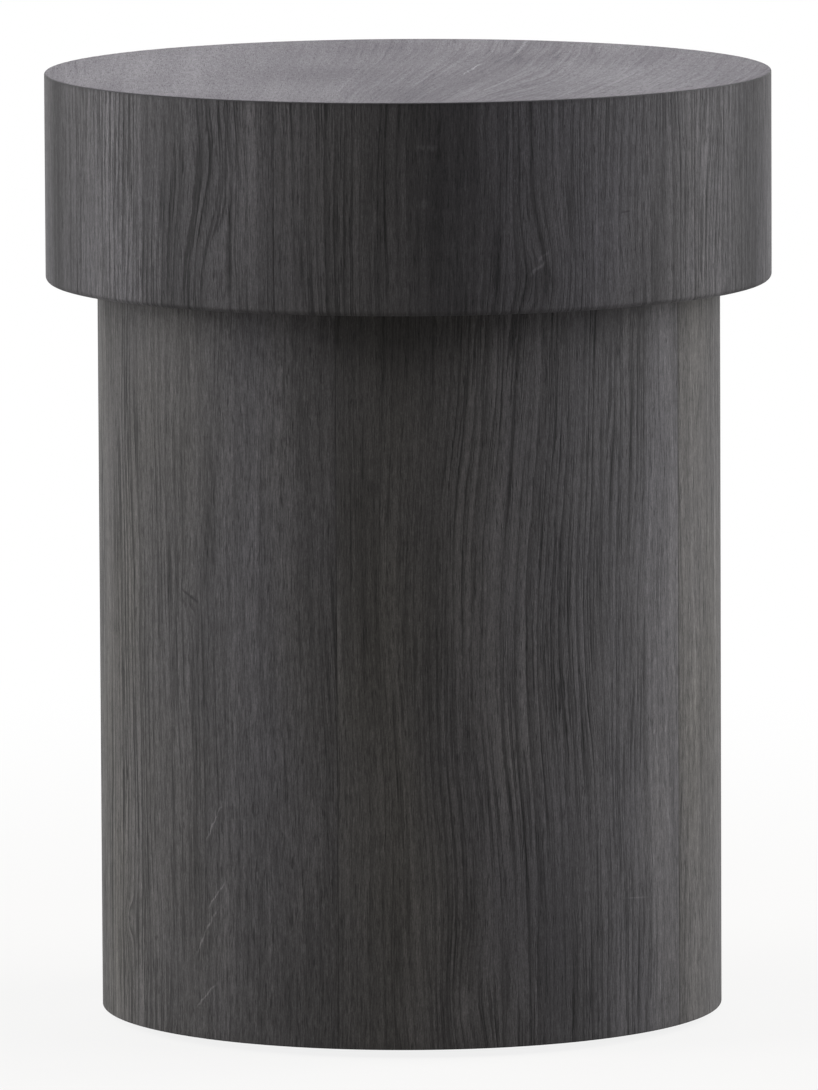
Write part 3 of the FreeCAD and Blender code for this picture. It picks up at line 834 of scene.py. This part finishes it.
NYLON = {
    "spark grain": (0.35, 0.35, 0.35),
    "cloud": (9.0, 9.0, 9.0),
    "scuff": (0.9, 5.0, 0.6),
    "scuff shows": (0.05, 0.25),
    "scuff reach": (0.0, 1.2),
    "tone": {"start": 0.4, "cloud": 0.8, "spark grain": 0.4, "scuff": 0.6},
    "roughness": {"start": 0.5, "spark grain": 0.2, "scuff": 0.2},
    "height": {"spark grain": 0.03},
}


def place_mm(graph):
    """Where a point of a piece is, in millimetres, from its own object coordinates."""
    return [part * PER_METRE for part in graph.parts(graph.add("ShaderNodeTexCoord").outputs["Object"])]


def dressed_in(graph, shader, colours, look, patterns, roughness=0.0):
    """Gives a shader a colour between two, a roughness and a bump from the look's weighed patterns."""
    colour = blended(graph, weighed(look["tone"], patterns), *colours)
    graph.feed(shader.inputs["Base Color"], colour)
    graph.feed(shader.inputs["Roughness"], weighed(look["roughness"], patterns) + roughness)
    graph.feed(shader.inputs["Normal"], bumped(graph, weighed(look["height"], patterns)))
    return colour


def bending_ply(name, low_edge):
    """Bending ply, bare: upright grain on its faces, its layers on its top edge, its lower edge stained."""
    material, graph, shader = new_finish(name)
    x, y, z = place_mm(graph)
    radius = graph.math("SQRT", x * x + y * y)
    round_it = graph.math("ARCTAN2", y, x) * radius
    layer = graph.math("FLOOR", radius / PLY["layer"])
    pore = graph.grain(PLY["pore"], round_it, z, layer + PLY["pore seed"])
    patterns = {
        "grain": graph.grain(PLY["grain"], round_it, z, layer),
        "pore": pore.eased(*PLY["pore shows"]),
        "cloud": graph.grain(PLY["cloud"], round_it, z, PLY["cloud seed"]),
        "crossed layer": graph.math("FLOORED_MODULO", layer, 2.0),
    }
    bare = dressed_in(graph, shader, COLOURS["bending_ply"], PLY, patterns)
    stained = (z - low_edge * PER_METRE).eased(*EDGE_STAIN_REACH, 1.0, 0.0)
    graph.feed(shader.inputs["Base Color"], blended(graph, stained, bare, EDGE_STAIN))
    return material


def pressed_fibre(name, roughness):
    """Fibreboard: fine matted fibres with a few dark ones, and slow clouds of colour."""
    material, graph, shader = new_finish(name)
    place = place_mm(graph)
    look = FIBREBOARD
    speck = graph.specks(look["speck"], place, look["speck detail"])
    patterns = {
        "matted": graph.specks(look["matted"], place, look["matted detail"]),
        "strand": graph.specks(look["strand one way"], place) + graph.specks(look["strand across"], place),
        "cloud": graph.specks(look["cloud"], place),
        "speck": speck.eased(*look["speck shows"]),
    }
    dressed_in(graph, shader, COLOURS[name], look, patterns, roughness)
    return material


def straight_wood(name, ring_width, roughness):
    """Bare wood whose grain runs upright: ring lines round a far pith, and fibres."""
    material, graph, shader = new_finish(name)
    place = place_mm(graph)
    look = BARE_WOOD
    x, y = (part - pith for part, pith in zip(place, look["pith"]))
    bow = graph.specks(look["bow size"], place) * look["bow"]
    from_pith = graph.math("SQRT", x ** 2.0 + y ** 2.0) + bow
    step = graph.math("FRACT", from_pith / ring_width)
    patterns = {
        "late wood": step.eased(*look["late wood starts"]) * step.eased(*look["late wood ends"]),
        "fibre": graph.specks(look["fibre"], place),
        "cloud": graph.specks(look["cloud"], place),
    }
    dressed_in(graph, shader, COLOURS[name], look, patterns, roughness)
    return material


def plated_steel(name, roughness):
    """Plated steel: cloudy plating, fine drawn lines and small handling marks."""
    material, graph, shader = new_finish(name)
    place = place_mm(graph)
    look = PLATED_STEEL
    patterns = {
        "cloud": graph.specks(look["cloud"], place, look["cloud detail"]),
        "drawn line": graph.specks(look["drawn line"], place),
        "nick": graph.specks(look["nick"], place).eased(*look["nick shows"]),
    }
    shader.inputs["Metallic"].default_value = 1.0
    dressed_in(graph, shader, COLOURS[name], look, patterns, roughness)
    return material


def moulded_nylon(name):
    """Black nylon: the fine spark grain of its mould, and scuffs towards the floor."""
    material, graph, shader = new_finish(name)
    place = place_mm(graph)
    near_floor = place[2].eased(*NYLON["scuff reach"], 1.0, 0.0)
    patterns = {
        "spark grain": graph.specks(NYLON["spark grain"], place),
        "cloud": graph.specks(NYLON["cloud"], place),
        "scuff": graph.specks(NYLON["scuff"], place).eased(*NYLON["scuff shows"]) * near_floor,
    }
    dressed_in(graph, shader, COLOURS[name], NYLON, patterns)
    return material


def hidden_finishes():
    """The finishes of everything that isn't oak, by the record's material slots."""
    return {
        "bent_ply": bending_ply("bending_ply_base", BASE_LOW),
        "stained_fibreboard": pressed_fibre("stained_fibreboard", roughness=0.66),
        "fibreboard": pressed_fibre("bare_fibreboard", roughness=0.8),
        "pine": straight_wood("planed_pine", ring_width=4.2, roughness=0.62),
        "beech": straight_wood("turned_beech", ring_width=2.1, roughness=0.6),
        "zinc_steel": plated_steel("zinc_plate", roughness=0.34),
        "screw_steel": plated_steel("yellow_plate", roughness=0.33),
        "stem_steel": plated_steel("stem_plate", roughness=0.36),
        "nylon": moulded_nylon("black_nylon"),
    }


# Pieces


def put_on(node, finish):
    for slot in frame["nodes"][node].material_slots:
        slot.material = finish


def finish_nodes(finishes):
    """Puts its slot's finish on every node of the frame that stays as it is."""
    for subpart in frame["record"]["subparts"]:
        finish = finishes.get(subpart["material_slot"])
        if finish:
            put_on(subpart["node"], finish)
    put_on("drum_hoop", bending_ply("bending_ply_drum", DRUM_LOW))


def leveller_stems(steel):
    tree = threaded_stem_tree()
    for index in range(LEVELLERS):
        number = index + 1
        angle = LEVELLER_FIRST_ANGLE + index * FULL_TURN / LEVELLERS
        values = {
            "Centre X": LEVELLER_RADIUS * cos(angle),
            "Centre Y": LEVELLER_RADIUS * sin(angle),
            "Pitch": THREAD_PITCH,
            "Depth": THREAD_DEPTH,
            "Rod Length": ROD_LENGTH,
            "Rod Rows": float(round(ROD_LENGTH / THREAD_PITCH * THREAD_ROWS_PER_TURN)),
            "Columns": float(STEM_COLUMNS),
            "Steel": steel,
        }
        piece = made_by(tree, f"threaded_stem_{number}", values)
        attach(piece, f"leveller_{number}_stem")
        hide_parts(f"leveller_stem_{number}")


def spot_values(kind, given):
    """The values of a leaf's spot inputs; a slot that isn't used has no height."""
    values = {}
    blank = (0.0, 0.0, 1.0, 1.0, 0.0)
    for slot in range(SPOT_SLOTS[kind]):
        spot = given[slot] if slot < len(given) else blank
        for part, number in zip(SPOT_PARTS, spot):
            values[f"{kind} {slot + 1} {part}"] = float(number)
    return values


# What sets a sheet apart, in millimetres across and along it; the top's is counted from its middle.
# A spot has a place across and along, a width, a length and a height. Hills push the grain aside, stains
# lighten or darken it, calm zones have few ring lines and warm zones are browner; a negative height of
# these two gives more ring lines and a cooler hue.
# Some stains are painted shade: dark bands at the drum's sides and under its overhang on the base.
TOP_FACE = ("top", 1)
SPOTS = {
    ("drum", 1): {
        "Hill": [(168.7, 488, 22, 34, -9)],
        "Stain": [
            (110, 530, 32, 140, -0.52),
            (190, 530, 18, 300, 0.1),
            (172, 486, 9, 9, -0.35),
            (257, 500, 14, 120, -0.15),
            (28, 540, 14, 120, -0.12),
            (122, 552, 10, 30, -0.14),
            (245, 480, 16, 28, -0.14),
            (160, 478, 14, 20, -0.1),
            (3, 580, 11, 80, 0.3),
            (273, 530, 9, 300, 0.14),
        ],
        "Calm": [(100, 545, 34, 80, 0.9), (50, 530, 22, 200, -0.6), (225, 530, 45, 300, 0.4)],
        "Warm": [(50, 530, 35, 300, 0.3), (180, 530, 70, 300, -0.4)],
    },
    ("drum", 2): {
        # The first stain darkens the drum's right side, seen from the front, as painted shade
        "Stain": [(80, 530, 28, 300, -0.75), (30, 530, 12, 300, 0.2), (14, 485, 12, 50, 0.16)],
    },
    ("drum", 5): {
        "Hill": [
            (200, 530, 60, 400, 24),
            (238, 476, 26, 42, 6),
            (240, 556, 34, 32, -2.5),
            (256, 478, 7, 26, -2),
            (271, 478, 7, 26, 2),
        ],
        "Stain": [
            # This stain darkens the drum's left side, seen from the front, as painted shade
            (78, 530, 22, 300, -0.8),
            (157, 530, 16, 300, 0.36),
            (190, 545, 10, 90, -0.2),
            (214, 530, 14, 300, -0.24),
            (240, 474, 12, 22, -0.24),
            (238, 560, 12, 45, -0.24),
            (268, 545, 11, 70, 0.24),
            (284, 530, 4, 90, -0.3),
            (152, 585, 13, 40, 0.14),
            (206, 490, 10, 36, 0.14),
        ],
        "Calm": [(75, 530, 45, 300, 0.7), (170, 530, 60, 300, -0.4)],
    },
    ("base", 1): {
        "Hill": [(79, 30.5, 16, 40, 6), (110, 250, 90, 150, 9)],
        "Stain": [
            # This stain is a painted shadow under the drum's overhang
            (40, 456, 90, 24, -0.4),
            (100, 250, 20, 260, 0.2),
            (100, 165, 16, 60, 0.18),
            # This stain is painted shade on the base's front middle, below the overhang
            (20, 350, 22, 200, -0.22),
            (136, 70, 20, 80, -0.26),
            (79, 30.5, 9, 14, 0.3),
            (222, 180, 24, 170, 0.26),
            # This stain is a painted shadow under the drum's rim
            (177, 455, 14, 20, -0.3),
            (97, 434, 18, 28, 0.28),
            (154, 240, 10, 50, 0.18),
        ],
        "Calm": [(25, 250, 30, 400, 0.6), (140, 250, 50, 500, -0.3), (240, 250, 28, 500, 0.8)],
        "Warm": [(30, 230, 36, 600, 0.36), (180, 230, 90, 600, -0.35)],
    },
    ("base", 2): {
        "Stain": [(24, 250, 14, 400, 0.12)],
        "Calm": [(30, 250, 60, 500, 0.8)],
        "Warm": [(30, 200, 60, 400, 0.3)],
    },
    ("base", 5): {
        "Hill": [(70, 386, 22, 70, 9), (140, 282.2, 5, 12, 6), (72, 71.6, 6, 12, 8)],
        "Stain": [
            (156, 300, 16, 400, -0.2),
            (88, 150, 22, 250, 0.12),
            (55, 100, 22, 160, 0.26),
            (232, 380, 14, 140, -0.18),
            # This stain is a painted shadow under the drum's rim
            (242, 455, 14, 20, -0.22),
            (180, 140, 18, 140, -0.12),
            (202, 390, 12, 90, 0.12),
            (222, 20, 14, 60, -0.14),
        ],
        "Calm": [(195, 230, 60, 420, 0.9), (60, 250, 60, 500, -0.6)],
        "Warm": [(40, 150, 60, 400, 0.4), (190, 300, 25, 300, -0.25)],
    },
    TOP_FACE: {
        "Stain": [
            (-170, 0, 50, 150, 0.16),
            (-55, -25, 45, 60, -0.2),
            (30, 80, 36, 50, -0.14),
            (88, 80, 36, 40, -0.08),
            (0, 160, 26, 40, -0.14),
            (130, -30, 34, 80, 0.16),
            (-4, -170, 24, 50, -0.18),
            (30, -60, 26, 60, -0.12),
            (-110, -130, 40, 50, 0.08),
        ],
        "Calm": [(-120, 0, 110, 400, 1.0), (170, 0, 60, 400, 0.6)],
    },
}
LEANS = {("base", 3): 0.03, ("base", 4): -0.02, ("drum", 3): 0.04}
# Straight marks: from, to, half of the width, and how far they lighten or darken
MARKS = {
    ("drum", 1): [
        ((91, 570), (102, 569), 3.0, 0.45),
        ((90, 534), (97, 536), 4.0, 0.3),
        ((160, 489), (171, 498), 1.6, 0.6),
        ((166, 498), (173, 503), 1.4, 0.5),
        ((224, 525), (231, 525.5), 0.9, -0.6),
    ],
    ("base", 1): [((192.0, 92.0), (211.0, 90.5), 0.9, 0.4)],
    ("base", 5): [
        ((165.5, 155.1), (153.1, 128.9), 1.0, 0.8),
        ((167.4, 105.0), (155.2, 88.1), 1.0, 0.8),
        ((161.7, 88.1), (144.0, 57.4), 1.1, 0.75),
        ((160.5, 40.7), (143.7, 24.6), 1.0, 0.75),
        ((138.9, 178.0), (138.0, 171.0), 1.4, 0.4),
        ((133.0, 286.5), (147.0, 279.0), 1.3, -0.7),
        ((70.5, 71.0), (73.5, 72.0), 2.5, -0.6),
        ((105.0, 63.0), (107.5, 65.0), 2.2, -0.5),
    ],
    TOP_FACE: [
        ((40.0, -40.0), (39.5, 40.0), 1.3, 0.8),
        ((39.5, 35.0), (53.0, 125.0), 1.2, 0.25),
        ((53.0, 110.0), (54.0, 215.0), 1.2, 0.6),
    ],
}
# What the leaves of a band share
BANDS = {
    "drum": {
        "Radius": DRUM_RADIUS,
        "Low": DRUM_LOW,
        "High": TOP_HEIGHT - SHEET_THICKNESS,
        "Lower Round": DRUM_LOWER_ROUND,
        "Columns": float(DRUM_COLUMNS),
        "Rows": float(DRUM_ROWS),
    },
    "base": {
        "Radius": BASE_RADIUS,
        "Low": BASE_LOW,
        "High": DRUM_LOW,
        "Lower Round": BASE_LOWER_ROUND,
        "Columns": float(BASE_COLUMNS),
        "Rows": float(BASE_ROWS),
    },
}
FIRST_SEAMS = {"drum": DRUM_SEAM_ANGLE, "base": BASE_SEAM_ANGLE}
FIRST_SEEDS = {"drum": DRUM_SEED, "base": BASE_SEED}
# The top's look: half the ring lines, few streaks where it is calm, and a faint sheen
TOP_LOOK = {
    "ringed": 0.5,
    "calmed": 0.7,
    "contrast": 1.05,
    "gloss_swing": 0.15,
    "shine": 0.06,
    "sheen": 0.04,
}


def spots_of(sheet, kind):
    return SPOTS.get(sheet, {}).get(kind, [])


def veneer_band(band, oak, tree):
    """The leaves round the drum or the base."""
    for index in range(LEAVES):
        number = index + 1
        leaf = (band, number)
        values = {
            **BANDS[band],
            "Start Angle": FIRST_SEAMS[band] + index * LEAF_ANGLE,
            "Seed": FIRST_SEEDS[band] + index * LEAF_SEED_STEP,
            "Lean": LEANS.get(leaf, 0.0),
            "Oak": smoked_oak(f"smoked_oak_{band}_{number}", band, MARKS[leaf]) if leaf in MARKS else oak,
        }
        for kind in SPOT_SLOTS:
            values.update(spot_values(kind, spots_of(leaf, kind)))
        piece = made_by(tree, f"oak_{band}_leaf_{number}", values)
        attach(piece, "table")
        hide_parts(f"{band}_veneer_leaf_{number}")


def top_sheet(oak, rim_oak):
    values = {
        "Radius": DRUM_RADIUS,
        "Height": TOP_HEIGHT,
        "Edge Ease": TOP_EDGE_EASE,
        "Rings": float(TOP_RINGS),
        "Columns": float(TOP_COLUMNS),
        "Seed": TOP_SEED,
        "Rim Seed": DRUM_SEED,
        "Oak": oak,
        "Rim Oak": rim_oak,
    }
    piece = made_by(top_sheet_tree(), "oak_top_sheet", values)
    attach(piece, "table")
    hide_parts("top_face_veneer")


# Stage, light and camera

FLOOR_SIZE = 40.0
FLOOR_COLOUR = (0.57, 0.55, 0.52, 1)
FLOOR_GLOW_NEAR = 0.85
FLOOR_GLOW_REACH = (0.35, 1.6)
AMBIENT = 0.08
WHITE = (1, 1, 1, 1)
LAMP_AIM_HEIGHT = 0.4
# Name, azimuth from the front in degrees, distance, height, width, height of the box, watts
SOFTBOXES = [
    ("left_rear_softbox", -110, 2.3, 1.6, 1.2, 1.6, 14),
    ("right_rear_softbox", 110, 2.3, 1.6, 1.2, 1.6, 40),
    ("left_softbox", -75, 2.3, 1.6, 1.2, 1.6, 44),
    ("right_softbox", 75, 2.3, 1.6, 1.2, 1.6, 30),
    ("left_low_softbox", -95, 2.3, 0.6, 1.6, 1.0, 25),
    ("right_low_softbox", 95, 2.3, 0.6, 1.6, 1.0, 22),
    ("back_softbox", 180, 3.0, 1.5, 2.5, 2.0, 36),
]
CAMERA_PLACE = (0.0, -8.6515, 1.3656)
CAMERA_PITCH = radians(90 - 7.046)
CAMERA_ROLL = radians(-0.278)
CAMERA_LENS = 456.23
CAMERA_SHIFT = -0.00092
CAMERA_SENSOR = 36.0
CAMERA_FAR = 200.0


def seen_directly(graph):
    """1 for rays from the camera, and for what mirrors and glass show."""
    path = graph.add("ShaderNodeLightPath")
    seen = graph.math("MAXIMUM", path.outputs["Is Camera Ray"], path.outputs["Is Glossy Ray"])
    return graph.math("MAXIMUM", seen, path.outputs["Is Transmission Ray"])


def pale_floor():
    """A pale floor that keeps the shadow near the table, is white further off, and clear from below."""
    material, graph = blank_material("pale_floor")
    matt = graph.add("ShaderNodeBsdfDiffuse", {"Color": FLOOR_COLOUR})
    white = graph.add("ShaderNodeEmission", {"Color": WHITE, "Strength": 1.0})
    place = graph.add("ShaderNodeTexCoord").outputs["Object"]
    far = Wire(graph, graph.add("ShaderNodeVectorMath", {0: place}, operation="LENGTH").outputs["Value"])
    glow = far.eased(*FLOOR_GLOW_REACH, FLOOR_GLOW_NEAR, 1.0) * seen_directly(graph)
    mixed = graph.add("ShaderNodeMixShader", {0: glow, 1: matt.outputs[0], 2: white.outputs[0]})
    clear = graph.add("ShaderNodeBsdfTransparent")
    below = graph.add("ShaderNodeNewGeometry").outputs["Backfacing"]
    one_sided = graph.add("ShaderNodeMixShader", {0: below, 1: mixed.outputs[0], 2: clear.outputs[0]})
    graph.add("ShaderNodeOutputMaterial", {"Surface": one_sided.outputs[0]})
    half = FLOOR_SIZE / 2
    corners = [(-half, -half, 0), (half, -half, 0), (half, half, 0), (-half, half, 0)]
    mesh = bpy.data.meshes.new("floor")
    mesh.from_pydata(corners, [], [(0, 1, 2, 3)])
    mesh.materials.append(material)
    floor = bpy.data.objects.new("floor", mesh)
    bpy.context.scene.collection.objects.link(floor)


def studio_world():
    """White where it is seen, and a low even light otherwise."""
    world = bpy.data.worlds.new("studio")
    bpy.context.scene.world = world
    world.use_nodes = True
    world.node_tree.nodes.clear()
    graph = Graph(world.node_tree)
    level = seen_directly(graph) * (1.0 - AMBIENT) + AMBIENT
    white = graph.add("ShaderNodeBackground", {"Color": WHITE, "Strength": level})
    graph.add("ShaderNodeOutputWorld", {"Surface": white.outputs[0]})


def softboxes():
    for name, azimuth, distance, height, width, tall, watts in SOFTBOXES:
        lamp = bpy.data.lights.new(name, "AREA")
        lamp.shape = "RECTANGLE"
        lamp.size = width
        lamp.size_y = tall
        lamp.energy = watts
        holder = bpy.data.objects.new(name, lamp)
        bpy.context.scene.collection.objects.link(holder)
        angle = radians(azimuth)
        holder.location = (distance * sin(angle), -distance * cos(angle), height)
        aim = Vector((0, 0, LAMP_AIM_HEIGHT)) - holder.location
        holder.rotation_euler = aim.to_track_quat("-Z", "Y").to_euler()
        holder.visible_camera = False


def photo_camera():
    data = bpy.data.cameras.new("camera")
    data.lens = CAMERA_LENS
    data.sensor_width = CAMERA_SENSOR
    data.shift_x = CAMERA_SHIFT
    data.clip_end = CAMERA_FAR
    camera = bpy.data.objects.new("camera", data)
    bpy.context.scene.collection.objects.link(camera)
    camera.location = CAMERA_PLACE
    turn = Matrix.Rotation(CAMERA_PITCH, 4, "X") @ Matrix.Rotation(CAMERA_ROLL, 4, "Z")
    camera.rotation_euler = turn.to_euler()
    bpy.context.scene.camera = camera


leaf_tree = veneer_leaf_tree()
drum_oak = smoked_oak("smoked_oak_drum", "drum")
veneer_band("drum", drum_oak, leaf_tree)
veneer_band("base", smoked_oak("smoked_oak_base", "base"), leaf_tree)
top_sheet(smoked_oak("smoked_oak_top", "top", MARKS[TOP_FACE], **TOP_LOOK), drum_oak)
finishes = hidden_finishes()
finish_nodes(finishes)
leveller_stems(finishes["stem_steel"])

bpy.context.scene.view_settings.view_transform = "Standard"
pale_floor()
studio_world()
softboxes()
photo_camera()
